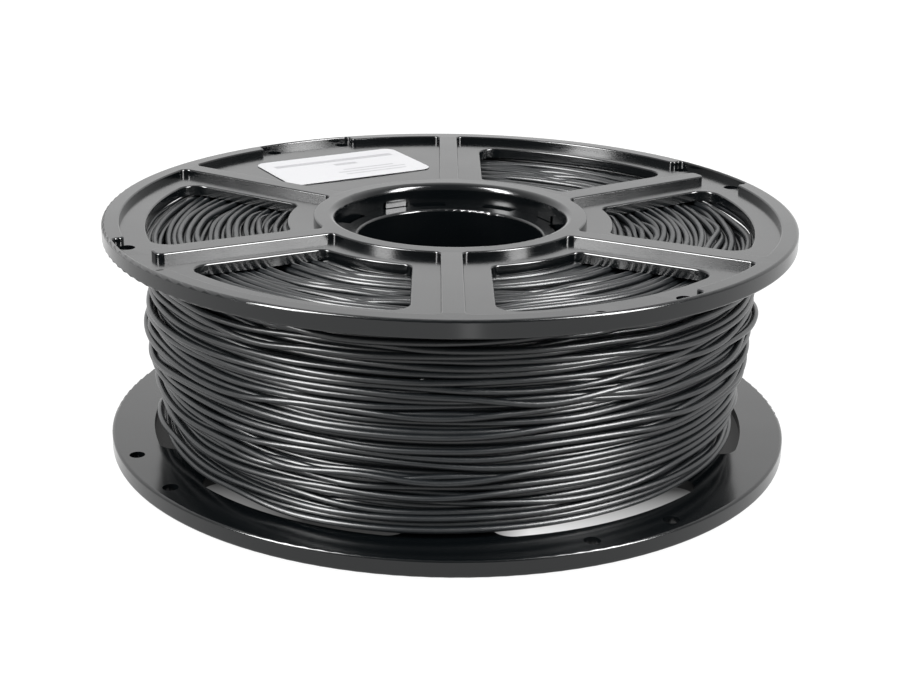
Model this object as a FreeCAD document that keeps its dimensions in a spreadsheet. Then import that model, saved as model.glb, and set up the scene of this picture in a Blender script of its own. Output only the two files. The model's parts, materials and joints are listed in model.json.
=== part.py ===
import FreeCAD, Part
import math
import os
import Sketcher

# Filament spool, 1 kg size: two identical moulded flanges snapped onto a double-walled core,
# the filament wound on the core between them, and a paper label stuck in one flange pocket.
# Millimetres. +Z is the spool's axis, and z = 0 is the plane that the lower rim rests on.

DIMENSIONS = {
    # whole spool
    "flange_diameter": 200.0,
    "spool_width": 68.0,
    "bore_diameter": 54.0,
    # flange plate
    "flange_thickness": 5.0,
    "rim_land": 5.0,
    "pocket_depth": 1.9,
    "rib_count": 6,
    "rib_width": 6.0,
    "hub_ring_radius": 39.8,
    # lightening windows in five of the six pockets
    "window_count": 5,
    "window_inner_radius": 47.4,
    "window_outer_radius": 87.7,
    "window_margin": 10.6,
    # recessed hub cup with the bore through its floor
    "cup_radius": 33.5,
    "cup_depth": 7.5,
    "cup_wall": 2.0,
    "cup_floor": 2.0,
    # filament clips: four places where the rim is cut back to a thin outer wall
    "clip_count": 4,
    "clip_angle": 19.6,
    "clip_outer_radius": 98.6,
    "clip_inner_radius": 91.6,
    "clip_hole_diameter": 4.4,
    "clip_hole_radius": 95.2,
    "clip_hole_angle": 7.6,
    # snap windows in the cup wall and release slots in the cup floor
    "snap_window_width": 8.4,
    "snap_window_height": 2.2,
    "release_slot_width": 2.2,
    "release_slot_angle": 18.0,
    "release_slot_near": 19.0,
    "release_slot_far": 57.5,
    # core: drum that carries the winding, bore tube and the four webs between them
    "drum_radius": 44.5,
    "drum_wall": 2.0,
    "tube_wall": 2.5,
    "web_thickness": 2.0,
    "drum_end_gap": 0.05,
    # snap tongues of the core
    "tongue_width": 7.0,
    "tongue_thickness": 1.8,
    "tongue_length": 12.0,
    "tongue_gap": 0.3,
    "nose_reach": 0.6,
    "nose_gap": 0.2,
    # winding
    "winding_radius": 86.5,
    "winding_gap": 0.3,
    "winding_edge_drop": 1.5,
    # label
    "label_length": 50.0,
    "label_height": 29.0,
    "label_thickness": 0.12,
    "label_corner": 3.5,
    "label_radius": 68.3,
    # how far a tool or a joined piece runs past the face that it meets
    "overlap": 1.0,
    # roundings
    "rim_rounding": 0.8,
    "mouth_rounding": 2.0,
    "bore_rounding": 0.7,
    "lip_rounding": 0.5,
    "pocket_corner": 2.0,
    "clip_corner": 1.5,
    "window_outer_corner": 5.5,
    "window_inner_corner": 3.0,
    # turn of the whole flange about the axis: the pocket with no window faces this way
    "label_azimuth": 120.7,
}

X_AXIS = FreeCAD.Vector(1, 0, 0)
Y_AXIS = FreeCAD.Vector(0, 1, 0)
Z_AXIS = FreeCAD.Vector(0, 0, 1)
ORIGIN = FreeCAD.Vector(0, 0, 0)
TOUCH = 0.05

# lengths used by several sketches, as expressions on the sheet
RIM_RADIUS = "dims.flange_diameter / 2"
RIM_INNER = "(dims.flange_diameter / 2 - dims.rim_land)"
BORE_RADIUS = "dims.bore_diameter / 2"
CUP_OUTER = "(dims.cup_radius + dims.cup_wall)"
CUP_BOTTOM = "(dims.cup_depth + dims.cup_floor)"
# azimuth, in degrees, of the middle of a flange's window-free pocket
POCKET_MIDDLE = "(180 / dims.rib_count)"


def make_sheet(doc):
    sheet = doc.addObject("Spreadsheet::Sheet", "dims")
    for row, (alias, number) in enumerate(DIMENSIONS.items(), start=1):
        sheet.set("A%d" % row, alias)
        sheet.set("B%d" % row, str(number))
        sheet.setAlias("B%d" % row, alias)
    doc.recompute()
    return sheet


class BodyBuilder:
    """One PartDesign body whose sketches and features take their sizes from the sheet."""

    def __init__(self, doc, sheet, label):
        self.doc = doc
        self.sheet = sheet
        self.body = doc.addObject("PartDesign::Body", label)
        self.body.Label = label

    def origin_feature(self, role):
        for feature in self.body.Origin.OriginFeatures:
            if feature.Role == role:
                return feature
        raise RuntimeError("no origin feature " + role)

    def number(self, expression):
        return float(self.sheet.evalExpression(expression))

    def sketch(self, name, plane, lift=None, turn=None):
        """Empty sketch on an origin plane, lifted along its normal or turned about the axis."""
        sketch = self.body.newObject("Sketcher::SketchObject", name)
        sketch.AttachmentSupport = [(self.origin_feature(plane), "")]
        sketch.MapMode = "FlatFace"
        if lift is not None:
            sketch.setExpression("AttachmentOffset.Base.z", lift)
        if turn is not None:
            rotation = FreeCAD.Rotation(Y_AXIS, self.number(turn))
            sketch.AttachmentOffset = FreeCAD.Placement(ORIGIN, rotation)
            sketch.setExpression("AttachmentOffset.Rotation.Angle", turn)
        return sketch

    def bind(self, sketch, kind, *args):
        """Add a dimension whose value is the expression that comes last."""
        expression = args[-1]
        constraint = Sketcher.Constraint(kind, *args[:-1], self.number(expression))
        index = sketch.addConstraint(constraint)
        sketch.setExpression("Constraints[%d]" % index, expression)

    def polygon(self, name, points, plane="XZ_Plane", lift=None, turn=None):
        """Closed outline of straight edges; each corner is a pair of expressions."""
        sketch = self.sketch(name, plane, lift, turn)
        corners = [FreeCAD.Vector(self.number(u), self.number(v), 0) for u, v in points]
        count = len(corners)
        for i in range(count):
            sketch.addGeometry(Part.LineSegment(corners[i], corners[(i + 1) % count]))
        for i in range(count):
            sketch.addConstraint(Sketcher.Constraint("Coincident", i, 2, (i + 1) % count, 1))
        for i, (u, v) in enumerate(points):
            self.bind(sketch, "DistanceX", -1, 1, i, 1, u)
            self.bind(sketch, "DistanceY", -1, 1, i, 1, v)
        return sketch

    def circle(self, name, radius, centre=("0", "0"), lift=None):
        sketch = self.sketch(name, "XY_Plane", lift)
        middle = FreeCAD.Vector(self.number(centre[0]), self.number(centre[1]), 0)
        sketch.addGeometry(Part.Circle(middle, Z_AXIS, self.number(radius)))
        self.bind(sketch, "Radius", 0, radius)
        self.bind(sketch, "DistanceX", -1, 1, 0, 3, centre[0])
        self.bind(sketch, "DistanceY", -1, 1, 0, 3, centre[1])
        return sketch

    def revolve(self, name, sketch, cut=False, angle="360"):
        kind = "PartDesign::Groove" if cut else "PartDesign::Revolution"
        feature = self.body.newObject(kind, name)
        feature.Profile = sketch
        feature.ReferenceAxis = (self.origin_feature("Z_Axis"), [""])
        feature.setExpression("Angle", angle)
        feature.Midplane = angle != "360"
        self.doc.recompute()
        return feature

    def extrude(self, name, sketch, length, cut=False, midplane=False, reverse=False):
        kind = "PartDesign::Pocket" if cut else "PartDesign::Pad"
        feature = self.body.newObject(kind, name)
        feature.Profile = sketch
        feature.setExpression("Length", length)
        feature.Midplane = midplane
        feature.Reversed = reverse
        self.doc.recompute()
        return feature

    def ring_pattern(self, name, features, count, angle="360"):
        pattern = self.body.newObject("PartDesign::PolarPattern", name)
        pattern.Originals = features
        pattern.Axis = (self.origin_feature("Z_Axis"), [""])
        pattern.setExpression("Angle", angle)
        pattern.setExpression("Occurrences", count)
        self.body.Tip = pattern
        self.doc.recompute()
        return pattern

    def round_edges(self, name, radius, wanted):
        """Fillet the edges of the body, as it stands, for which wanted(edge) is true."""
        base = self.body.Tip
        edges = base.Shape.Edges
        names = ["Edge%d" % (i + 1) for i, edge in enumerate(edges) if wanted(edge)]
        if not names:
            raise RuntimeError("no edges found for " + name)
        fillet = self.body.newObject("PartDesign::Fillet", name)
        fillet.Base = (base, names)
        fillet.setExpression("Radius", radius)
        self.doc.recompute()
        return fillet


def edge_middle(edge):
    """Distance from the axis, height and azimuth in degrees of an edge's middle point."""
    point = edge.valueAt((edge.FirstParameter + edge.LastParameter) / 2)
    flat = FreeCAD.Vector(point.x, point.y, 0)
    return flat.Length, point.z, math.degrees(math.atan2(point.y, point.x))


def off_centre(edge, azimuth, pitch):
    """Distance of an edge's middle from the nearest of the radial lines azimuth + n * pitch."""
    distance, _, turn = edge_middle(edge)
    turn = (turn - azimuth) % pitch
    return distance * math.sin(math.radians(min(turn, pitch - turn)))


def is_upright(edge):
    ends = [vertex.Point for vertex in edge.Vertexes]
    if len(ends) != 2 or edge.Curve.TypeId != "Part::GeomLine":
        return False
    run = ends[1] - ends[0]
    return abs(run.x) < 0.01 and abs(run.y) < 0.01


def is_full_circle(edge, radius, low, high):
    is_ring = edge.Curve.TypeId == "Part::GeomCircle" and len(edge.Vertexes) == 1
    if not is_ring or abs(edge.Curve.Radius - radius) > 0.01:
        return False
    return low < edge.Curve.Center.z < high


def flange_disc(builder):
    """Turned shape of the flange: rim, pocket floor, hub ring and hub cup with its bore."""
    profile = [
        (RIM_RADIUS, "0"),
        (RIM_RADIUS, "dims.flange_thickness"),
        (CUP_OUTER, "dims.flange_thickness"),
        (CUP_OUTER, CUP_BOTTOM),
        (BORE_RADIUS, CUP_BOTTOM),
        (BORE_RADIUS, "dims.cup_depth"),
        ("dims.cup_radius", "dims.cup_depth"),
        ("dims.cup_radius", "0"),
        ("dims.hub_ring_radius", "0"),
        ("dims.hub_ring_radius", "dims.pocket_depth"),
        (RIM_INNER, "dims.pocket_depth"),
        (RIM_INNER, "0"),
    ]
    builder.revolve("disc", builder.polygon("disc_profile", profile))


def flange_ribs(builder):
    """Radial ribs from the hub ring to the rim, flush with both."""
    sink = "(dims.pocket_depth + dims.overlap)"
    side = [
        ("dims.hub_ring_radius - dims.overlap", "0"),
        (RIM_INNER + " + dims.overlap", "0"),
        (RIM_INNER + " + dims.overlap", sink),
        ("dims.hub_ring_radius - dims.overlap", sink),
    ]
    rib = builder.extrude("rib", builder.polygon("rib_side", side), "dims.rib_width", midplane=True)
    builder.ring_pattern("ribs", [rib], "dims.rib_count")


def flange_clips(builder):
    """Cut the rim's inner part away at four places, each with a filament hole near both ends."""
    notch = [
        ("dims.clip_inner_radius", "-dims.overlap"),
        ("dims.clip_outer_radius", "-dims.overlap"),
        ("dims.clip_outer_radius", "dims.pocket_depth"),
        ("dims.clip_inner_radius", "dims.pocket_depth"),
    ]
    profile = builder.polygon("clip_profile", notch, turn=POCKET_MIDDLE)
    features = [builder.revolve("clip", profile, cut=True, angle="dims.clip_angle")]
    for side in ("-", "+"):
        azimuth = "(%s * 1 deg %s dims.clip_hole_angle * 1 deg)" % (POCKET_MIDDLE, side)
        centre = ["dims.clip_hole_radius * %s%s" % (name, azimuth) for name in ("cos", "sin")]
        hole = builder.circle("clip_hole_sketch", "dims.clip_hole_diameter / 2", centre)
        features.append(builder.extrude("clip_hole", hole, CUP_BOTTOM, cut=True, reverse=True))
    builder.ring_pattern("clips", features, "dims.clip_count")


def window_outline(builder):
    """Sector about +Y: two arcs about the axis, joined by sides parallel to the ribs."""
    sketch = builder.sketch("window_outline", "XY_Plane")
    ends = {}
    for radius in ("dims.window_outer_radius", "dims.window_inner_radius"):
        half_angle = "(180 deg / dims.rib_count - asin(dims.window_margin / %s))" % radius
        ends[radius] = ("%s * sin%s" % (radius, half_angle), "%s * cos%s" % (radius, half_angle))
    right = [FreeCAD.Vector(*map(builder.number, pair), 0) for pair in ends.values()]
    left = [FreeCAD.Vector(-point.x, point.y, 0) for point in right]
    tops = [FreeCAD.Vector(0, builder.number(radius), 0) for radius in ends]
    sketch.addGeometry(Part.Arc(right[0], tops[0], left[0]))
    sketch.addGeometry(Part.LineSegment(left[0], left[1]))
    sketch.addGeometry(Part.Arc(right[1], tops[1], left[1]))
    sketch.addGeometry(Part.LineSegment(right[1], right[0]))
    joins = [(0, 2, 1, 1), (1, 2, 2, 2), (2, 1, 3, 1), (3, 2, 0, 1), (0, 3, -1, 1), (2, 3, -1, 1)]
    for join in joins:
        sketch.addConstraint(Sketcher.Constraint("Coincident", *join))
    for arc, (radius, (half_width, _)) in zip((0, 2), ends.items()):
        builder.bind(sketch, "Radius", arc, radius)
        builder.bind(sketch, "DistanceX", -1, 1, arc, 1, half_width)
        builder.bind(sketch, "DistanceX", -1, 1, arc, 2, "-" + half_width)
    return sketch


def flange_windows(builder):
    """Lightening windows in every pocket but the one that carries the label."""
    outline = window_outline(builder)
    window = builder.extrude("window", outline, CUP_BOTTOM, cut=True, reverse=True)
    span = "360 / dims.rib_count * (dims.window_count - 1)"
    builder.ring_pattern("windows", [window], "dims.window_count", span)


def flange_snap_openings(builder):
    """Windows in the cup wall for the core's snap noses, and release slots in the cup floor."""
    window_top = "dims.cup_depth - dims.snap_window_height"
    side = [
        ("dims.cup_radius - dims.overlap", window_top),
        (CUP_OUTER + " + dims.overlap", window_top),
        (CUP_OUTER + " + dims.overlap", "dims.cup_depth"),
        ("dims.cup_radius - dims.overlap", "dims.cup_depth"),
    ]
    profile = builder.polygon("snap_side", side, turn=POCKET_MIDDLE)
    width = "dims.snap_window_width"
    features = [builder.extrude("snap_window", profile, width, cut=True, midplane=True)]
    slot = [
        ("dims.cup_radius - dims.release_slot_width", "dims.cup_depth - dims.overlap"),
        ("dims.cup_radius", "dims.cup_depth - dims.overlap"),
        ("dims.cup_radius", CUP_BOTTOM + " + dims.overlap"),
        ("dims.cup_radius - dims.release_slot_width", CUP_BOTTOM + " + dims.overlap"),
    ]
    for offset in ("dims.release_slot_near", "dims.release_slot_far"):
        profile = builder.polygon("slot_profile", slot, turn="%s + %s" % (POCKET_MIDDLE, offset))
        features.append(builder.revolve("slot", profile, cut=True, angle="dims.release_slot_angle"))
    builder.ring_pattern("snap_openings", features, "dims.clip_count")


def flange_corners(builder):
    """Round the upright corners of the windows, pockets, rib ends and clips."""
    number = builder.number
    rim_inner = number(RIM_INNER)
    clip_outer = number("dims.clip_outer_radius")
    ring = number("dims.hub_ring_radius")
    rib_half = number("dims.rib_width") / 2
    pitch = 360 / number("dims.rib_count")
    clip_pitch = 360 / number("dims.clip_count")
    depth = number("dims.pocket_depth")

    def window_corner(radius):
        return lambda edge: is_upright(edge) and abs(edge_middle(edge)[0] - radius) < TOUCH

    def pocket_corner(edge):
        distance, height, _ = edge_middle(edge)
        return is_upright(edge) and height < depth and ring - TOUCH < distance < clip_outer + TOUCH

    def rib_corner(edge):
        return pocket_corner(edge) and off_centre(edge, 0, pitch) < rib_half + TOUCH

    def clip_corner(edge):
        distance, _, _ = edge_middle(edge)
        side = distance * math.sin(math.radians(number("dims.clip_angle") / 2))
        at_clip_end = abs(off_centre(edge, pitch / 2, clip_pitch) - side) < TOUCH
        return pocket_corner(edge) and distance > rim_inner - TOUCH and at_clip_end

    outer = window_corner(number("dims.window_outer_radius"))
    inner = window_corner(number("dims.window_inner_radius"))
    builder.round_edges("window_outer_corners", "dims.window_outer_corner", outer)
    builder.round_edges("window_inner_corners", "dims.window_inner_corner", inner)
    builder.round_edges("rib_corners", "dims.pocket_corner", rib_corner)
    builder.round_edges("clip_corners", "dims.clip_corner", clip_corner)


def flange_lips(builder):
    """Round the lips of the pockets, windows, cup and bore, and both edges of the rim."""
    number = builder.number
    rim = number(RIM_RADIUS)
    ring = number("dims.hub_ring_radius")
    cup = number("dims.cup_radius")
    bore = number(BORE_RADIUS)
    depth = number("dims.pocket_depth")
    margin = number("dims.window_margin")
    pitch = 360 / number("dims.rib_count")
    window_outer = number("dims.window_outer_radius")
    window_inner = number("dims.window_inner_radius")

    def pocket_lip(edge):
        distance, height, _ = edge_middle(edge)
        return abs(height) < TOUCH and ring - TOUCH < distance < rim - TOUCH

    def window_lip(edge):
        distance, height, _ = edge_middle(edge)
        in_reach = window_inner - TOUCH < distance < window_outer + TOUCH
        beside_rib = off_centre(edge, 0, pitch) < margin - TOUCH
        return abs(height - depth) < TOUCH and in_reach and not beside_rib

    def ring_edge(radius, low, high):
        return lambda edge: is_full_circle(edge, radius, number(low), number(high))

    mouth = ring_edge(cup, "-dims.overlap", "dims.overlap")
    bore_lip = ring_edge(bore, "dims.flange_thickness", "dims.cup_depth + dims.overlap")
    rim_edges = ring_edge(rim, "-dims.overlap", "dims.flange_thickness + dims.overlap")
    builder.round_edges("pocket_lips", "dims.lip_rounding", pocket_lip)
    builder.round_edges("window_lips", "dims.lip_rounding", window_lip)
    builder.round_edges("cup_mouth", "dims.mouth_rounding", mouth)
    builder.round_edges("bore_lip", "dims.bore_rounding", bore_lip)
    builder.round_edges("rim_edges", "dims.rim_rounding", rim_edges)


def build_flange(doc, sheet, label):
    """One flange, outer face down, with a rib on +X and its window-free pocket beside it."""
    builder = BodyBuilder(doc, sheet, label)
    flange_disc(builder)
    flange_ribs(builder)
    flange_clips(builder)
    flange_windows(builder)
    flange_snap_openings(builder)
    flange_corners(builder)
    flange_lips(builder)
    return builder.body


def build_core(doc, sheet):
    """Drum, bore tube and webs in one moulding, with four snap tongues at each end.

    Its own origin is at mid-height, and a tongue stands on +X.
    """
    builder = BodyBuilder(doc, sheet, "core")
    drum_end = "(dims.spool_width / 2 - dims.flange_thickness - dims.drum_end_gap)"
    tube_end = "(dims.spool_width / 2 - %s - dims.drum_end_gap)" % CUP_BOTTOM
    drum_inner = "(dims.drum_radius - dims.drum_wall)"
    wall = [
        (drum_inner, "-" + drum_end),
        ("dims.drum_radius", "-" + drum_end),
        ("dims.drum_radius", drum_end),
        (drum_inner, drum_end),
    ]
    builder.revolve("drum", builder.polygon("drum_profile", wall))
    reach = "(dims.drum_radius - dims.drum_wall / 2)"
    web = [
        ("-" + reach, "-dims.web_thickness / 2"),
        (reach, "-dims.web_thickness / 2"),
        (reach, "dims.web_thickness / 2"),
        ("-" + reach, "dims.web_thickness / 2"),
    ]
    height = "2 * " + tube_end
    web_sketch = builder.polygon("web_outline", web, plane="XY_Plane")
    pad = builder.extrude("web", web_sketch, height, midplane=True)
    builder.ring_pattern("webs", [pad], "2", "360 / dims.clip_count")
    tube = builder.circle("tube_outline", BORE_RADIUS + " + dims.tube_wall")
    builder.extrude("tube", tube, height, midplane=True)
    bore = builder.circle("bore_outline", BORE_RADIUS)
    builder.extrude("bore", bore, "dims.spool_width", cut=True, midplane=True)

    tongue_inner = "(%s + dims.tongue_gap)" % CUP_OUTER
    tongue_outer = "(%s + dims.tongue_thickness)" % tongue_inner
    nose = "dims.cup_radius - dims.nose_reach"
    tip = "(dims.cup_depth - dims.snap_window_height + dims.nose_gap - dims.spool_width / 2)"
    nose_end = "(dims.cup_depth - dims.nose_gap - dims.spool_width / 2)"
    root = "(%s + dims.tongue_length - dims.spool_width / 2)" % CUP_BOTTOM
    tongues = []
    for end in ("", "-"):
        side = [
            (nose, end + tip),
            (tongue_outer, end + tip),
            (tongue_outer, end + root),
            (tongue_inner, end + root),
            (tongue_inner, end + nose_end),
            (nose, end + nose_end),
        ]
        tongue_side = builder.polygon("tongue_side", side)
        tongues.append(builder.extrude("tongue", tongue_side, "dims.tongue_width", midplane=True))
    builder.ring_pattern("tongues", tongues, "dims.clip_count")
    return builder.body


def build_winding(doc, sheet):
    """Outer shape of the wound filament, with its own origin at mid-height."""
    builder = BodyBuilder(doc, sheet, "filament_winding")
    inner = "dims.drum_radius + dims.winding_gap"
    end = "(dims.spool_width / 2 - dims.flange_thickness - dims.winding_gap)"
    shoulder = "(%s - dims.winding_edge_drop)" % end
    edge = "dims.winding_radius - dims.winding_edge_drop"
    outline = [
        (inner, "-" + end),
        (edge, "-" + end),
        ("dims.winding_radius", "-" + shoulder),
        ("dims.winding_radius", shoulder),
        (edge, end),
        (inner, end),
    ]
    builder.revolve("winding", builder.polygon("winding_profile", outline))
    return builder.body


def build_label(doc, sheet):
    """Thin paper rectangle with rounded corners, lying on its own XY plane."""
    builder = BodyBuilder(doc, sheet, "label")
    outline = [
        ("-dims.label_length / 2", "-dims.label_height / 2"),
        ("dims.label_length / 2", "-dims.label_height / 2"),
        ("dims.label_length / 2", "dims.label_height / 2"),
        ("-dims.label_length / 2", "dims.label_height / 2"),
    ]
    sketch = builder.polygon("label_outline", outline, plane="XY_Plane")
    builder.extrude("paper", sketch, "dims.label_thickness")
    builder.round_edges("paper_corners", "dims.label_corner", is_upright)
    return builder.body


def place_parts(sheet, lower, upper, core, winding, label):
    """Stack the pieces on the axis, all turned so that the label faces its azimuth."""
    width = sheet.get("spool_width")
    azimuth = sheet.get("label_azimuth")
    pocket_middle = 180 / sheet.get("rib_count")
    middle = Z_AXIS * (width / 2)
    flange_turn = FreeCAD.Rotation(Z_AXIS, azimuth - pocket_middle)
    lower.Placement = FreeCAD.Placement(ORIGIN, flange_turn)
    flipped = FreeCAD.Rotation(Z_AXIS, azimuth + pocket_middle) * FreeCAD.Rotation(X_AXIS, 180)
    upper.Placement = FreeCAD.Placement(Z_AXIS * width, flipped)
    facing = FreeCAD.Rotation(Z_AXIS, azimuth)
    core.Placement = FreeCAD.Placement(middle, facing)
    winding.Placement = FreeCAD.Placement(middle, facing)
    outward = facing.multVec(X_AXIS) * sheet.get("label_radius")
    pocket_floor = Z_AXIS * (width - sheet.get("pocket_depth"))
    label_turn = FreeCAD.Rotation(Z_AXIS, azimuth - 90)
    label.Placement = FreeCAD.Placement(outward + pocket_floor, label_turn)


def check_and_export(doc, parts):
    """Stop on any failed object or bad shape, then write one STEP file for each part."""
    for item in doc.Objects:
        if "Invalid" in item.State or "Error" in item.State:
            raise RuntimeError("%s failed: %s" % (item.Label, item.State))
    for part in parts:
        shape = part.Shape
        if shape.isNull() or not shape.isValid() or len(shape.Solids) != 1:
            raise RuntimeError(part.Label + " is not one valid solid")
    os.makedirs("parts", exist_ok=True)
    for part in parts:
        part.Shape.exportStep("parts/%s.step" % part.Label)
        box = part.Shape.BoundBox
        size = (box.XLength, box.YLength, box.ZLength)
        print("%-18s %10.1f mm3  %.2f x %.2f x %.2f mm" % (part.Label, part.Shape.Volume, *size))


def main():
    doc = FreeCAD.newDocument("filament_spool")
    sheet = make_sheet(doc)
    lower = build_flange(doc, sheet, "lower_flange")
    upper = build_flange(doc, sheet, "upper_flange")
    core = build_core(doc, sheet)
    winding = build_winding(doc, sheet)
    label = build_label(doc, sheet)
    place_parts(sheet, lower, upper, core, winding, label)
    doc.recompute()
    check_and_export(doc, [lower, upper, core, winding, label])


main()
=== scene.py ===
import json
import math

import bpy
import numpy as np
from mathutils import Matrix, Vector

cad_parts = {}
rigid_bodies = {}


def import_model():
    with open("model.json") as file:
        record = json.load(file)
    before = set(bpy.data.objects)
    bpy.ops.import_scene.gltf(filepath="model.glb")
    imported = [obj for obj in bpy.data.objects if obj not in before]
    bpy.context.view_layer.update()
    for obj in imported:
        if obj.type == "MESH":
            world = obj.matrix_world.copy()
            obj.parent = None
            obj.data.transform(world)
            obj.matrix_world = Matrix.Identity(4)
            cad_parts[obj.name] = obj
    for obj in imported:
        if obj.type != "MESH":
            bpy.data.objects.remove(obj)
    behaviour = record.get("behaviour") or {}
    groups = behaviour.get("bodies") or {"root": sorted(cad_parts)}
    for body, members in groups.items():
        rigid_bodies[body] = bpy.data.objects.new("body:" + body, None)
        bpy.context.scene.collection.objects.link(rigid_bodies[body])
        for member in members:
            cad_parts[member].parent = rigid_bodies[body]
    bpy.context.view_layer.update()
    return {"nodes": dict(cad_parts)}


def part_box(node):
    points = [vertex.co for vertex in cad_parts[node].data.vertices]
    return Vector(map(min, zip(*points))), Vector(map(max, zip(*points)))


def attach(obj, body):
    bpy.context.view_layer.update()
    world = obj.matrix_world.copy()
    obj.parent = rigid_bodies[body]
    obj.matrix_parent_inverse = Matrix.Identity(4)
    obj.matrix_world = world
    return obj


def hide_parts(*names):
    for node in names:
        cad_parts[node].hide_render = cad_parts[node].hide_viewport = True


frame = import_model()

# ---------------------------------------------------------------------------------------------
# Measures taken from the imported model, in metres
# ---------------------------------------------------------------------------------------------
CORE_LOW, CORE_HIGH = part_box("core")
WIND_LOW, WIND_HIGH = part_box("filament_winding")
SPOOL_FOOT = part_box("lower_flange")[0].z
SPOOL_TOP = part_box("upper_flange")[1].z

MIDDLE_HEIGHT = SPOOL_TOP / 2
DRUM_RADIUS = (CORE_HIGH.x - CORE_LOW.x) / 2
WINDING_RADIUS = (WIND_HIGH.y - WIND_LOW.y) / 2
# distance from the winding's middle height to either flange
INNER_FACE = (WIND_HIGH.z - WIND_LOW.z) / 2

# ---------------------------------------------------------------------------------------------
# Camera: looks along +Y and down at the middle of the spool
# ---------------------------------------------------------------------------------------------
VIEW_TARGET = Vector((0.0, 0.0, 0.034))
VIEW_ELEVATION = math.radians(18.96)
VIEW_DISTANCE = 0.5062
VIEW_ROLL = math.radians(0.82)
LENS = 67.92
SENSOR = 36.0
SHIFT = (0.0013, -0.033)
CLIP_START = 0.01


def make_camera():
    data = bpy.data.cameras.new("camera")
    data.lens = LENS
    data.sensor_width = SENSOR
    data.shift_x, data.shift_y = SHIFT
    data.clip_start = CLIP_START
    camera = bpy.data.objects.new("camera", data)
    bpy.context.scene.collection.objects.link(camera)
    away = Vector((0, -math.cos(VIEW_ELEVATION), math.sin(VIEW_ELEVATION)))
    turn = (-away).to_track_quat("-Z", "Y").to_matrix().to_4x4()
    roll = Matrix.Rotation(VIEW_ROLL, 4, "Z")
    camera.matrix_world = Matrix.Translation(VIEW_TARGET + away * VIEW_DISTANCE) @ turn @ roll
    bpy.context.scene.camera = camera


# ---------------------------------------------------------------------------------------------
# Wound filament: every turn is laid on the turns under it. Heights here are measured from the
# middle of the winding, and surface[step, cell] is how far out it reaches at a place.
# ---------------------------------------------------------------------------------------------
STRAND_RADIUS = 1.75e-3 / 2
TURN_STEPS = 288
CELL = 0.125e-3
FACE_GAP = 0.15e-3
REACH = INNER_FACE - STRAND_RADIUS - FACE_GAP

# the strand's section: its cells each side of its middle, and how far it bulges at each
SECTION = np.arange(-int(STRAND_RADIUS / CELL), int(STRAND_RADIUS / CELL) + 1)
BULGE = np.sqrt(np.maximum(STRAND_RADIUS**2 - (SECTION * CELL) ** 2, 0))

# the guide: its advance in a turn, and its slow drift and quick shake as waves in each turn
SEED = 11
PITCH = 1.80e-3
WAVE_COUNT = 9
DRIFT_SIZE = 1.25e-3
DRIFT_RATES = (0.05, 0.9)
SHAKE_SIZE = 0.24e-3
SHAKE_RATES = (0.7, 3.0)

# the guide hurries over a place that is already high and lingers at a low one
LEVEL_REACH = 3.0e-3
LEVEL_GAIN = 400.0
HURRY_LIMITS = (-0.5, 1.0)

# the strand is laid by lengths, each worked out with a lead at both ends
LENGTH_STEPS = 144
LEAD_STEPS = 24
SETTLE_REACH = 1.4e-3
SPRING = 40.0
BARRED_COST = 1.0
SLIDE_PASSES = 40
BRIDGE_PASSES = 14
BRIDGE_SMOOTHS = 4
SAG_PASSES = 8
FILL_RADIUS = WINDING_RADIUS - 0.3e-3


def wave_set(rng, rates, size):
    """Random waves that add up to about the given size: their rates, phases and sizes."""
    wave_rates = rng.uniform(*rates, WAVE_COUNT)
    phases = rng.uniform(0, 2 * math.pi, WAVE_COUNT)
    shares = rng.uniform(0.5, 1.0, WAVE_COUNT)
    return wave_rates, phases, shares * size / math.sqrt(WAVE_COUNT)


def wave(waves, turns):
    rates, phases, sizes = waves
    return (np.sin(np.outer(turns, rates) * 2 * math.pi + phases) * sizes).sum(1)


def smooth(values, times=1):
    values = values.copy()
    for _ in range(times):
        values[1:-1] = (values[:-2] + 2 * values[1:-1] + values[2:]) / 4
    return values


def turned_back(aim):
    """Heights of the aim, with what runs past a flange turned back from it."""
    aim = (aim + REACH) % (4 * REACH)
    return np.where(aim > 2 * REACH, 4 * REACH - aim, aim) - REACH


def settled_heights(surface, rows, aim, before):
    """Heights of the strand when it slides from its aim towards the lowest groove beside it."""
    look = np.arange(-int(SETTLE_REACH / CELL), int(SETTLE_REACH / CELL) + 1)
    offset = look * CELL
    columns = np.round((aim + INNER_FACE) / CELL).astype(int)[:, None] + look
    near = np.clip(columns[:, :, None] + SECTION, 0, surface.shape[1] - 1)
    contact = (surface[rows[:, None, None], near] + BULGE).max(2)
    cost = contact + SPRING * offset**2
    cost = np.where(np.abs(columns * CELL - INNER_FACE) > REACH, BARRED_COST, cost)
    height = np.clip(aim + offset[np.argmin(cost, 1)], -REACH, REACH)
    height[:LEAD_STEPS] = before
    for _ in range(SLIDE_PASSES):
        height[LEAD_STEPS:] = smooth(height)[LEAD_STEPS:]
    return height


def resting_radii(surface, rows, near, before):
    """Radii of the strand when it rests on what is under it and bridges the dips."""
    rest = (surface[rows[:, None], near] + BULGE).max(1)
    radius = rest.copy()
    radius[:LEAD_STEPS] = before
    for _ in range(BRIDGE_PASSES):
        radius[LEAD_STEPS:] = np.maximum(rest, smooth(radius, BRIDGE_SMOOTHS))[LEAD_STEPS:]
    for _ in range(SAG_PASSES):
        radius[LEAD_STEPS:] = smooth(radius)[LEAD_STEPS:]
    return radius


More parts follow.
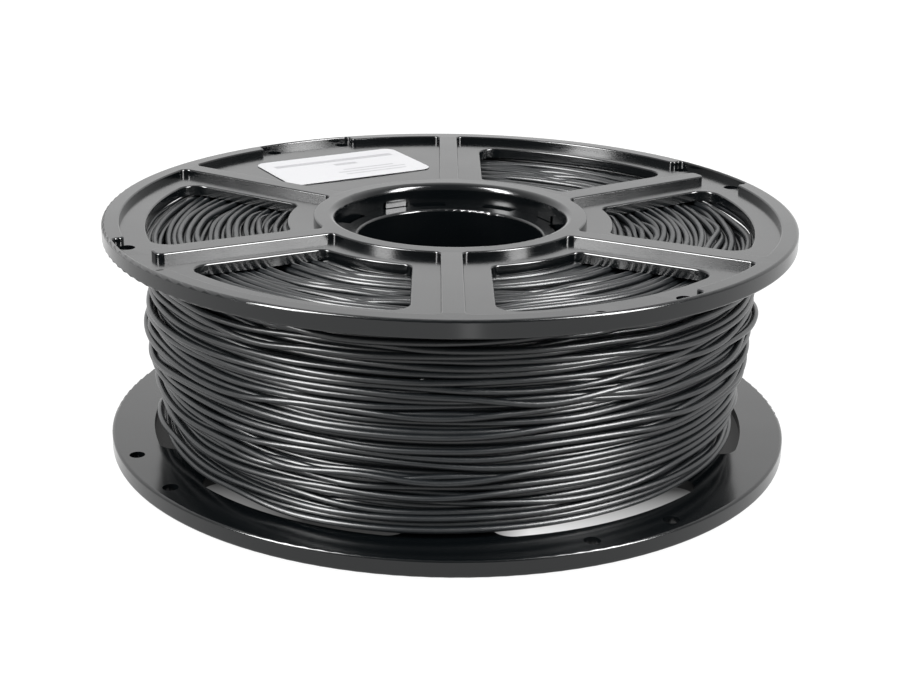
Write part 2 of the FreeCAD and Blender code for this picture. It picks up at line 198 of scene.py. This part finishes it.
def lay_winding():
    """Lays the strand from the drum outwards, up one way and down the other, until it is full."""
    rng = np.random.default_rng(SEED)
    drift = wave_set(rng, DRIFT_RATES, DRIFT_SIZE)
    shake = wave_set(rng, SHAKE_RATES, SHAKE_SIZE)
    cells = int(2 * INNER_FACE / CELL) + 1
    surface = np.full((TURN_STEPS, cells), DRUM_RADIUS)
    along = np.arange(LEAD_STEPS + LENGTH_STEPS + LEAD_STEPS) - LEAD_STEPS
    new = slice(LEAD_STEPS, LEAD_STEPS + LENGTH_STEPS)
    heights = [np.full(LEAD_STEPS, -REACH)]
    radii = [np.full(LEAD_STEPS, DRUM_RADIUS + STRAND_RADIUS)]
    guide, heading, first = -REACH, 1, 0
    while True:
        rows = (first + along) % TURN_STEPS
        turns = (first + along) / TURN_STEPS
        aim = guide + heading * PITCH * along / TURN_STEPS
        aim = turned_back(aim + wave(drift, turns) + wave(shake, turns))
        height = settled_heights(surface, rows, aim, heights[-1][-LEAD_STEPS:])
        near = np.round((height + INNER_FACE) / CELL).astype(int)[:, None] + SECTION
        near = np.clip(near, 0, cells - 1)
        radius = resting_radii(surface, rows, near, radii[-1][-LEAD_STEPS:])
        touched = rows[new, None], near[new]
        surface[touched] = np.maximum(surface[touched], radius[new, None] + BULGE)
        heights.append(height[new])
        radii.append(radius[new])
        first += LENGTH_STEPS
        here = np.abs(np.arange(cells) * CELL - INNER_FACE - guide) < LEVEL_REACH
        above = surface.mean(0)
        excess = above[here].mean() - np.median(above)
        hurry = 1 + np.clip(excess * LEVEL_GAIN, *HURRY_LIMITS)
        guide += heading * PITCH * LENGTH_STEPS / TURN_STEPS * hurry
        if abs(guide) > REACH:
            guide = math.copysign(REACH, guide)
            heading = -heading
            if np.median(surface) > FILL_RADIUS:
                break
    return np.concatenate(heights[1:]), np.concatenate(radii[1:]), surface


# ---------------------------------------------------------------------------------------------
# Outline of the winding: fuller in the middle and at the top, most of all towards one side,
# drawn in low down at both sides, and with a bulge low down in front
# ---------------------------------------------------------------------------------------------
MIDDLE_RISE = 0.9e-3
MIDDLE_WIDTH = 0.45
TOP_START = -0.4
TOP_RISE = 1.7e-3
TOP_SHIFT = 1.3e-3
TOP_TURN = math.radians(75)
TOP_EDGE = 1.8e-3
TOP_EDGE_START = 0.8
LOW_START = -0.1
LOW_DROP = 3.0e-3
LOW_DROP_POWER = 1.2
LOW_BULGE = 3.1e-3
LOW_BULGE_POWER = 1.5
BULGE_TURN = math.radians(-107)
BULGE_WIDTH = math.radians(24)

# the surface is averaged over so many steps and cells each way, without its outermost cells
LEVEL_STEPS = 9
LEVEL_CELLS = 20
EDGE_CELLS = 12
CREST = 0.3e-3
# this far out from the drum the strand moves by the whole difference
FULL_LEAN = 0.03


def wanted_radius(angle, height):
    """Radius of the finished winding at that angle and height."""
    high = height / INNER_FACE
    middle = np.exp(-((high / MIDDLE_WIDTH) ** 2))
    top = np.clip(high - TOP_START, 0, 1)
    edge = np.clip((high - TOP_EDGE_START) / (1 - TOP_EDGE_START), 0, 1)
    low = np.clip((LOW_START - high) / (1 + LOW_START), 0, 1)
    out = MIDDLE_RISE * middle + top * (TOP_RISE + TOP_SHIFT * np.cos(angle - TOP_TURN)) + TOP_EDGE * edge
    out -= LOW_DROP * low**LOW_DROP_POWER * np.cos(angle) ** 2
    from_bulge = (angle - BULGE_TURN + math.pi) % (2 * math.pi) - math.pi
    out += LOW_BULGE * low**LOW_BULGE_POWER * np.exp(-((from_bulge / BULGE_WIDTH) ** 2))
    return WINDING_RADIUS + out


def lean_out(surface):
    """How far each place of the surface moves out to reach the wanted radius, without its ripples."""
    level = surface[:, EDGE_CELLS:-EDGE_CELLS]
    across = 2 * LEVEL_CELLS + 1
    around = 2 * LEVEL_STEPS + 1
    for _ in range(2):
        level = sum(np.roll(level, step, 0) for step in range(-LEVEL_STEPS, LEVEL_STEPS + 1))
        level = np.pad(level / around, ((0, 0), (LEVEL_CELLS, LEVEL_CELLS)), "edge")
        total = np.cumsum(np.pad(level, ((0, 0), (1, 0))), 1)
        level = (total[:, across:] - total[:, :-across]) / across
    level = np.pad(level, ((0, 0), (EDGE_CELLS, EDGE_CELLS)), "edge")
    angle = np.arange(TURN_STEPS)[:, None] * 2 * math.pi / TURN_STEPS
    height = np.arange(surface.shape[1])[None, :] * CELL - INNER_FACE
    return wanted_radius(angle, height) - CREST - level


# ---------------------------------------------------------------------------------------------
# Pieces of the winding: the stretches of strand that can be seen, and a ring for the rest
# ---------------------------------------------------------------------------------------------
SHOW_DEPTH = 3.0e-3
SIDE_DEPTH = 2.4e-3
GAP_CELLS = 10
RUN_MARGIN = 5
TUBE_SIDES = 10
PIECE_STEPS = 9000

RING_SIDES = 96
RING_TO_DRUM = 0.75e-3
RING_TO_OUTSIDE = 5.0e-3
RING_TO_FLANGE = 3.0e-3


def add_piece(piece, replaced):
    bpy.context.scene.collection.objects.link(piece)
    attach(piece, "root")
    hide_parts(replaced)


def places(height, surface):
    """Step and cell of the surface at each point of the strand."""
    steps = np.arange(len(height)) % TURN_STEPS
    cells = np.round((height + INNER_FACE) / CELL).astype(int)
    return steps, np.clip(cells, 0, surface.shape[1] - 1)


def shown_runs(height, radius, surface):
    """Index ranges of the strand where it lies near the outside, beside a gap or near a flange."""
    lowest = surface.copy()
    for shift in range(1, GAP_CELLS + 1):
        lowest[:, shift:] = np.minimum(lowest[:, shift:], surface[:, :-shift])
        lowest[:, :-shift] = np.minimum(lowest[:, :-shift], surface[:, shift:])
    near_outside = radius + STRAND_RADIUS > lowest[places(height, surface)] - SHOW_DEPTH
    near_flange = np.abs(height) > INNER_FACE - STRAND_RADIUS - SIDE_DEPTH
    shown = near_outside | near_flange
    for _ in range(RUN_MARGIN):
        shown[1:-1] = shown[:-2] | shown[1:-1] | shown[2:]
    edges = np.flatnonzero(np.diff(np.concatenate([[0], shown.astype(int), [0]])))
    return list(zip(edges[::2], edges[1::2]))


def strand_line(height, radius, surface):
    """Points along the middle of the strand, and the outward direction at each."""
    steps, cells = places(height, surface)
    angle = steps * 2 * math.pi / TURN_STEPS
    share = np.clip((radius - DRUM_RADIUS) / FULL_LEAN, 0, 1)
    radius = radius + lean_out(surface)[steps, cells] * share
    points = np.stack([radius * np.cos(angle), radius * np.sin(angle), height + MIDDLE_HEIGHT], 1)
    return points, np.stack([np.cos(angle), np.sin(angle)], 1)


def tube_mesh(name, points, outward, runs):
    """One mesh of round closed tubes, one for each run of points."""
    turn = np.arange(TUBE_SIDES) * 2 * math.pi / TUBE_SIDES
    side = np.arange(TUBE_SIDES)[None, :]
    after = (side + 1) % TUBE_SIDES
    vertices, quads, caps = [], [], []
    base = 0
    for first, last in runs:
        centre = points[first:last]
        out = outward[first:last]
        count = len(centre)
        ring = np.empty((count, TUBE_SIDES, 3))
        ring[:, :, 0] = centre[:, None, 0] + STRAND_RADIUS * np.cos(turn) * out[:, None, 0]
        ring[:, :, 1] = centre[:, None, 1] + STRAND_RADIUS * np.cos(turn) * out[:, None, 1]
        ring[:, :, 2] = centre[:, None, 2] + STRAND_RADIUS * np.sin(turn)
        vertices.append(ring.reshape(-1, 3))
        row = np.arange(count - 1)[:, None] * TUBE_SIDES
        next_row = row + TUBE_SIDES
        quad = np.stack([row + side, row + after, next_row + after, next_row + side], 2)
        quads.append(quad.reshape(-1, 4) + base)
        caps.append(base + np.arange(TUBE_SIDES)[::-1])
        caps.append(base + (count - 1) * TUBE_SIDES + np.arange(TUBE_SIDES))
        base += count * TUBE_SIDES
    faces = np.concatenate(quads).tolist() + [cap.tolist() for cap in caps]
    mesh = bpy.data.meshes.new(name)
    mesh.from_pydata(np.concatenate(vertices).tolist(), [], faces)
    mesh.polygons.foreach_set("use_smooth", np.ones(len(faces), bool))
    return mesh


def grouped(runs):
    """The runs in groups of at most PIECE_STEPS steps; a longer run is cut, with a point in common."""
    short_runs = []
    for first, last in runs:
        for cut in range(first, last - 1, PIECE_STEPS):
            short_runs.append((cut, min(cut + PIECE_STEPS + 1, last)))
    groups, size = [[]], 0
    for first, last in short_runs:
        if groups[-1] and size + last - first > PIECE_STEPS:
            groups.append([])
            size = 0
        groups[-1].append((first, last))
        size += last - first
    return groups


def make_strands(material):
    height, radius, surface = lay_winding()
    points, outward = strand_line(height, radius, surface)
    for number, runs in enumerate(grouped(shown_runs(height, radius, surface))):
        name = "filament_strand_%02d" % number
        mesh = tube_mesh(name, points, outward, runs)
        mesh.materials.append(material)
        add_piece(bpy.data.objects.new(name, mesh), "filament_winding")


def make_inner_turns(material):
    """Plain dark ring under the strands that show, for the turns buried in the winding."""
    inner = DRUM_RADIUS + RING_TO_DRUM
    outer = FILL_RADIUS - RING_TO_OUTSIDE
    half = INNER_FACE - RING_TO_FLANGE
    profile = [(inner, -half), (outer, -half), (outer, half), (inner, half)]
    corners = len(profile)
    vertices, faces = [], []
    for step in range(RING_SIDES):
        angle = step * 2 * math.pi / RING_SIDES
        row = step * corners
        next_row = (step + 1) % RING_SIDES * corners
        for corner, (radius, height) in enumerate(profile):
            after = (corner + 1) % corners
            vertices.append((radius * math.cos(angle), radius * math.sin(angle), MIDDLE_HEIGHT + height))
            faces.append((row + corner, next_row + corner, next_row + after, row + after))
    mesh = bpy.data.meshes.new("filament_inner_turns")
    mesh.from_pydata(vertices, [], faces)
    mesh.materials.append(material)
    add_piece(bpy.data.objects.new(mesh.name, mesh), "filament_winding")


# ---------------------------------------------------------------------------------------------
# Materials
# ---------------------------------------------------------------------------------------------
# the sockets of a Mix node for the kind of value that it mixes: first, second, result
FLOAT_MIX = ("FLOAT", 2, 3, 0)
COLOUR_MIX = ("RGBA", 6, 7, 2)


class Nodes:
    """Short calls for building a material's or the world's node tree."""

    def __init__(self, tree):
        self.tree = tree

    def set(self, socket, value):
        """Links a socket to the value, or stores the value in the socket."""
        if isinstance(value, bpy.types.NodeSocket):
            self.tree.links.new(value, socket)
        else:
            socket.default_value = value

    def math(self, operation, *values):
        node = self.tree.nodes.new("ShaderNodeMath")
        node.operation = operation
        for socket, value in zip(node.inputs, values):
            self.set(socket, value)
        return node.outputs[0]

    def remap(self, value, low, high, to_low, to_high):
        node = self.tree.nodes.new("ShaderNodeMapRange")
        names = ("Value", "From Min", "From Max", "To Min", "To Max")
        for name, setting in zip(names, (value, low, high, to_low, to_high)):
            self.set(node.inputs[name], setting)
        return node.outputs["Result"]

    def between(self, value, low, high):
        """1 where the value lies between low and high, else 0."""
        above = self.math("GREATER_THAN", value, low)
        return self.math("MULTIPLY", above, self.math("LESS_THAN", value, high))

    def mix(self, sockets, share, first, second):
        """The first value where share is 0 and the second where it is 1."""
        data_type, first_socket, second_socket, result = sockets
        node = self.tree.nodes.new("ShaderNodeMix")
        node.data_type = data_type
        self.set(node.inputs["Factor"], share)
        self.set(node.inputs[first_socket], first)
        self.set(node.inputs[second_socket], second)
        return node.outputs[result]

    def noise(self, vector, scale, detail):
        node = self.tree.nodes.new("ShaderNodeTexNoise")
        self.set(node.inputs["Scale"], scale)
        self.set(node.inputs["Detail"], detail)
        self.set(node.inputs["Vector"], vector)
        return node.outputs["Fac"]

    def coordinates(self, kind):
        """The coordinates of that kind, and their X, Y and Z apart."""
        place = self.tree.nodes.new("ShaderNodeTexCoord").outputs[kind]
        parts = self.tree.nodes.new("ShaderNodeSeparateXYZ")
        self.set(parts.inputs[0], place)
        return place, *parts.outputs

    def joined(self, x, y):
        node = self.tree.nodes.new("ShaderNodeCombineXYZ")
        self.set(node.inputs["X"], x)
        self.set(node.inputs["Y"], y)
        return node.outputs[0]

    def distance(self, x, y):
        squares = self.math("ADD", self.math("MULTIPLY", x, x), self.math("MULTIPLY", y, y))
        return self.math("SQRT", squares)

    def bump(self, height, strength, depth, under=None):
        """Normal of a surface with that height, on top of the normal under it if there is one."""
        node = self.tree.nodes.new("ShaderNodeBump")
        if under:
            self.set(node.inputs["Normal"], under)
        self.set(node.inputs["Strength"], strength)
        self.set(node.inputs["Distance"], depth)
        self.set(node.inputs["Height"], height)
        return node.outputs["Normal"]


def new_material(name):
    material = bpy.data.materials.new(name)
    material.use_nodes = True
    return material, Nodes(material.node_tree), material.node_tree.nodes["Principled BSDF"].inputs


# each noise below is its scale in waves per metre and its detail, each bump its strength and depth
CLOUD_LEVELS = (0.3, 0.7)
PLASTIC_IOR = 1.5
SPOOL_COLOUR = (0.0007, 0.0010, 0.0012, 1)
SPOOL_ROUGHNESS = (0.15, 0.19)
SPOOL_CLOUDS = (60.0, 3.0)
GRAIN = (2600.0, 2.0)
GRAIN_BUMP = (0.08, 0.010e-3)
# scuffs: short marks along the radius, spaced by these scales around and along it
SCUFF_SCALES = (160.0, 60.0)
SCUFFS = (1.0, 3.0)
SCUFF_LEVELS = (0.66, 0.8)
SCUFF_ROUGHNESS = 0.12
SCUFF_HEIGHT = 0.2
# sink marks: the faint waviness of a moulded face
SINKS = (35.0, 1.0)
SINK_BUMP = (0.35, 0.3e-3)


def spool_plastic():
    material, nodes, shader = new_material("spool_plastic")
    place, across, along, _ = nodes.coordinates("Object")
    angle = nodes.math("ARCTAN2", along, across)
    around = nodes.math("MULTIPLY", angle, SCUFF_SCALES[0])
    out = nodes.math("MULTIPLY", nodes.distance(across, along), SCUFF_SCALES[1])
    scuff = nodes.remap(nodes.noise(nodes.joined(around, out), *SCUFFS), *SCUFF_LEVELS, 0.0, 1.0)
    cloudy = nodes.remap(nodes.noise(place, *SPOOL_CLOUDS), *CLOUD_LEVELS, *SPOOL_ROUGHNESS)
    grain = nodes.math("ADD", nodes.noise(place, *GRAIN), nodes.math("MULTIPLY", scuff, SCUFF_HEIGHT))
    grainy = nodes.bump(grain, *GRAIN_BUMP)
    sunk = nodes.bump(nodes.noise(place, *SINKS), *SINK_BUMP, grainy)
    nodes.set(shader["Base Color"], SPOOL_COLOUR)
    nodes.set(shader["IOR"], PLASTIC_IOR)
    nodes.set(shader["Roughness"], nodes.math("ADD", cloudy, nodes.math("MULTIPLY", scuff, SCUFF_ROUGHNESS)))
    nodes.set(shader["Normal"], sunk)
    return material


FILAMENT_COLOUR = (0.0017, 0.0023, 0.0028, 1)
FILAMENT_ROUGHNESS = (0.31, 0.37)
FILAMENT_CLOUDS = (90.0, 2.0)
SPECKS = (2400.0, 2.0)
SPECK_LEVELS = (0.6, 0.8)
SPECK_BUMP = (0.05, 0.010e-3)


def filament_plastic():
    material, nodes, shader = new_material("filament_plastic")
    place = nodes.coordinates("Object")[0]
    cloudy = nodes.remap(nodes.noise(place, *FILAMENT_CLOUDS), *CLOUD_LEVELS, *FILAMENT_ROUGHNESS)
    specks = nodes.remap(nodes.noise(place, *SPECKS), *SPECK_LEVELS, 0.0, 1.0)
    nodes.set(shader["Base Color"], FILAMENT_COLOUR)
    nodes.set(shader["IOR"], PLASTIC_IOR)
    nodes.set(shader["Roughness"], cloudy)
    nodes.set(shader["Normal"], nodes.bump(specks, *SPECK_BUMP))
    return material


# the label: its direction and distance from the axis, and its length and width
LABEL_TURN = math.radians(120.7)
LABEL_REACH = 0.0683
LABEL_SIZE = (0.050, 0.029)
LABEL_PAPER_COLOUR = (0.205, 0.205, 0.21, 1)
LABEL_BAR_COLOUR = (0.12, 0.12, 0.125, 1)
LABEL_ROUGHNESS = 0.45
FIBRES = (1500.0, 4.0)
FIBRE_BUMP = (0.15, 0.020e-3)
# how much of the ink a fibre takes, between two levels of the fibres
FIBRE_INK = (0.3, 0.6, 0.5, 1.0)
# printed bars: first and last part of the label's length, first and last part of its width
LABEL_BARS = (
    (0.08, 0.93, 0.20, 0.29),
    (0.46, 0.62, 0.375, 0.455),
    (0.46, 0.82, 0.62, 0.655),
    (0.40, 0.88, 0.71, 0.745),
    (0.43, 0.86, 0.80, 0.835),
)


def label_paper():
    material, nodes, shader = new_material("label_paper")
    place, across, along, _ = nodes.coordinates("Object")
    sine, cosine = math.sin(LABEL_TURN), math.cos(LABEL_TURN)
    out = nodes.math("ADD", nodes.math("MULTIPLY", across, cosine), nodes.math("MULTIPLY", along, sine))
    side = nodes.math("SUBTRACT", nodes.math("MULTIPLY", across, sine), nodes.math("MULTIPLY", along, cosine))
    length, width = LABEL_SIZE
    far = nodes.remap(side, -length / 2, length / 2, 0.0, 1.0)
    down = nodes.remap(out, LABEL_REACH + width / 2, LABEL_REACH - width / 2, 0.0, 1.0)
    ink = 0.0
    for first, last, top, low in LABEL_BARS:
        bar = nodes.math("MULTIPLY", nodes.between(far, first, last), nodes.between(down, top, low))
        ink = nodes.math("MAXIMUM", ink, bar)
    fibre = nodes.noise(place, *FIBRES)
    ink = nodes.math("MULTIPLY", ink, nodes.remap(fibre, *FIBRE_INK))
    nodes.set(shader["Base Color"], nodes.mix(COLOUR_MIX, ink, LABEL_PAPER_COLOUR, LABEL_BAR_COLOUR))
    nodes.set(shader["Roughness"], LABEL_ROUGHNESS)
    nodes.set(shader["Normal"], nodes.bump(fibre, *FIBRE_BUMP))
    return material


# ---------------------------------------------------------------------------------------------
# Upper flange and label: the flange's middle has sunk a little towards the winding
# ---------------------------------------------------------------------------------------------
HUB_SINK = 1.1e-3
RIM_INNER_RADIUS = 0.095
HUB_RING_RADIUS = 0.0398
CUP_WALL_RADIUS = 0.0365
CUP_FLOOR_HEIGHT = 0.0605
CUP_TOP_HEIGHT = 0.0655
LABEL_LIFT = 0.16e-3


def add_sunk_copy(node, lift):
    """Copy of a CAD piece that slopes down from the rim to the hub ring; the cup's floor stays."""
    mesh = frame["nodes"][node].data.copy()
    mesh.name = node + "_dished"
    spots = np.empty(len(mesh.vertices) * 3)
    mesh.vertices.foreach_get("co", spots)
    spots = spots.reshape(-1, 3)
    reach = np.hypot(spots[:, 0], spots[:, 1])
    share = np.clip((RIM_INNER_RADIUS - reach) / (RIM_INNER_RADIUS - HUB_RING_RADIUS), 0, 1)
    in_cup = np.clip((spots[:, 2] - CUP_FLOOR_HEIGHT) / (CUP_TOP_HEIGHT - CUP_FLOOR_HEIGHT), 0, 1)
    spots[:, 2] += lift - HUB_SINK * np.where(reach < CUP_WALL_RADIUS, share * in_cup, share)
    mesh.vertices.foreach_set("co", spots.ravel())
    mesh.update()
    piece = bpy.data.objects.new(mesh.name, mesh)
    piece.matrix_world = frame["nodes"][node].matrix_world
    add_piece(piece, node)


# ---------------------------------------------------------------------------------------------
# Studio: pale floor with painted shade and painted pools of light near the spool, white surround and two soft
# lamps
# ---------------------------------------------------------------------------------------------
FLOOR_HALF = 6.0
FLOOR_DROP = 0.02e-3
FLOOR_ROUGHNESS = 0.9
FLOOR_GLOW = 0.95
# painted shade: the floor's paint is darker under the spool, where the spool shades it, than beyond it
SHADE_RADIUS = 0.0985
SHADE_EDGE = 0.001
SHADE_TONES = (0.03, 0.2)
# painted light: under the spool the floor glows only where it shows through the two front windows, as pools
# of light painted there;
# each pool is two places, across or along the floor, and the values at them
WINDOW_POOL_ALONG = (-0.075, -0.045, 0.55, 0.03)
WINDOW_POOL_LEFT = (-0.066, -0.038, 1.0, 0.0)
WINDOW_POOL_RIGHT = (0.010, 0.022, 0.08, 1.5)
# painted light: a glowing wedge of floor out of view in front, a painted pool of light that the rims mirror
# as a painted highlight; its direction, then two angles from it and the values at them
WEDGE_TURN = 0.095
WEDGE_LIGHT_POOL = (0.02, 0.05, 1.3, 0.0)
WEDGE_START = -0.17
# brightness of the surround: from in front of the spool to behind it
WORLD_GLOW = (-0.3, 0.5, 0.22, 1.28)

LAMP_ELEVATION = math.radians(34)
LAMP_DISTANCE = 1.6
LAMP_HEIGHT = 1.4
WHITE = (1, 1, 1, 1)


def floor_with_painted_light():
    material, nodes, shader = new_material("floor_with_painted_light")
    _, across, along, _ = nodes.coordinates("Object")
    reach = nodes.distance(across, along)
    # painted light: pools of glow on the floor under the spool, where it shows through the front windows
    sides = nodes.math("ADD", nodes.remap(across, *WINDOW_POOL_LEFT), nodes.remap(across, *WINDOW_POOL_RIGHT))
    under = nodes.math("MULTIPLY", nodes.remap(along, *WINDOW_POOL_ALONG), sides)
    # painted light: a glowing wedge of floor in front, mirrored in the rims as a painted highlight
    turn = nodes.math("ARCTAN2", across, nodes.math("MULTIPLY", along, -1.0))
    from_wedge = nodes.math("ABSOLUTE", nodes.math("SUBTRACT", turn, WEDGE_TURN))
    in_front = nodes.math("LESS_THAN", along, WEDGE_START)
    wedge = nodes.math("MULTIPLY", nodes.remap(from_wedge, *WEDGE_LIGHT_POOL), in_front)
    beyond = nodes.math("GREATER_THAN", reach, SHADE_RADIUS)
    glow = nodes.mix(FLOAT_MIX, beyond, under, nodes.math("ADD", wedge, FLOOR_GLOW))
    # painted shade: the floor's paint is darker under the spool
    nodes.set(shader["Base Color"], nodes.remap(reach, SHADE_RADIUS - SHADE_EDGE, SHADE_RADIUS, *SHADE_TONES))
    nodes.set(shader["Roughness"], FLOOR_ROUGHNESS)
    nodes.set(shader["Emission Color"], WHITE)
    nodes.set(shader["Emission Strength"], glow)
    return material


def make_floor():
    mesh = bpy.data.meshes.new("floor")
    height = SPOOL_FOOT - FLOOR_DROP
    corners = [(-1, -1), (1, -1), (1, 1), (-1, 1)]
    mesh.from_pydata([(x * FLOOR_HALF, y * FLOOR_HALF, height) for x, y in corners], [], [(0, 1, 2, 3)])
    mesh.materials.append(floor_with_painted_light())
    floor = bpy.data.objects.new("floor", mesh)
    bpy.context.scene.collection.objects.link(floor)


def make_world():
    world = bpy.data.worlds.new("studio")
    bpy.context.scene.world = world
    world.use_nodes = True
    nodes = Nodes(world.node_tree)
    back = world.node_tree.nodes["Background"].inputs
    along = nodes.coordinates("Generated")[2]
    nodes.set(back["Strength"], nodes.remap(along, *WORLD_GLOW))
    nodes.set(back["Color"], WHITE)


def soft_lamp(name, azimuth, width, power, lit):
    """Tall lamp aimed at the spool from that azimuth; it lights only the pieces in lit."""
    data = bpy.data.lights.new(name, "AREA")
    data.shape = "RECTANGLE"
    data.size, data.size_y = width, LAMP_HEIGHT
    data.energy = power
    lamp = bpy.data.objects.new(name, data)
    bpy.context.scene.collection.objects.link(lamp)
    turn = math.radians(azimuth)
    level = math.cos(LAMP_ELEVATION)
    away = Vector((math.sin(turn) * level, -math.cos(turn) * level, math.sin(LAMP_ELEVATION)))
    lamp.location = away * LAMP_DISTANCE + VIEW_TARGET
    lamp.rotation_euler = (-away).to_track_quat("-Z", "Y").to_euler()
    lamp.light_linking.receiver_collection = lit


# ---------------------------------------------------------------------------------------------
# The scene
# ---------------------------------------------------------------------------------------------
make_camera()

SPOOL_PLASTIC = spool_plastic()
FILAMENT_PLASTIC = filament_plastic()
CAD_LOOKS = {
    "upper_flange": SPOOL_PLASTIC,
    "lower_flange": SPOOL_PLASTIC,
    "core": SPOOL_PLASTIC,
    "label": label_paper(),
}
for node, material in CAD_LOOKS.items():
    slots = frame["nodes"][node].data.materials
    slots.clear()
    slots.append(material)

make_strands(FILAMENT_PLASTIC)
make_inner_turns(FILAMENT_PLASTIC)
add_sunk_copy("upper_flange", 0.0)
add_sunk_copy("label", LABEL_LIFT)

LIT_BY_LAMPS = bpy.data.collections.new("lit_by_lamps")
for piece in bpy.context.scene.objects:
    if piece.type == "MESH":
        LIT_BY_LAMPS.objects.link(piece)

make_floor()
make_world()
soft_lamp("soft_left", azimuth=-56, width=0.48, power=92, lit=LIT_BY_LAMPS)
soft_lamp("soft_right", azimuth=57, width=0.47, power=90, lit=LIT_BY_LAMPS)

bpy.context.scene.view_settings.view_transform = "Standard"
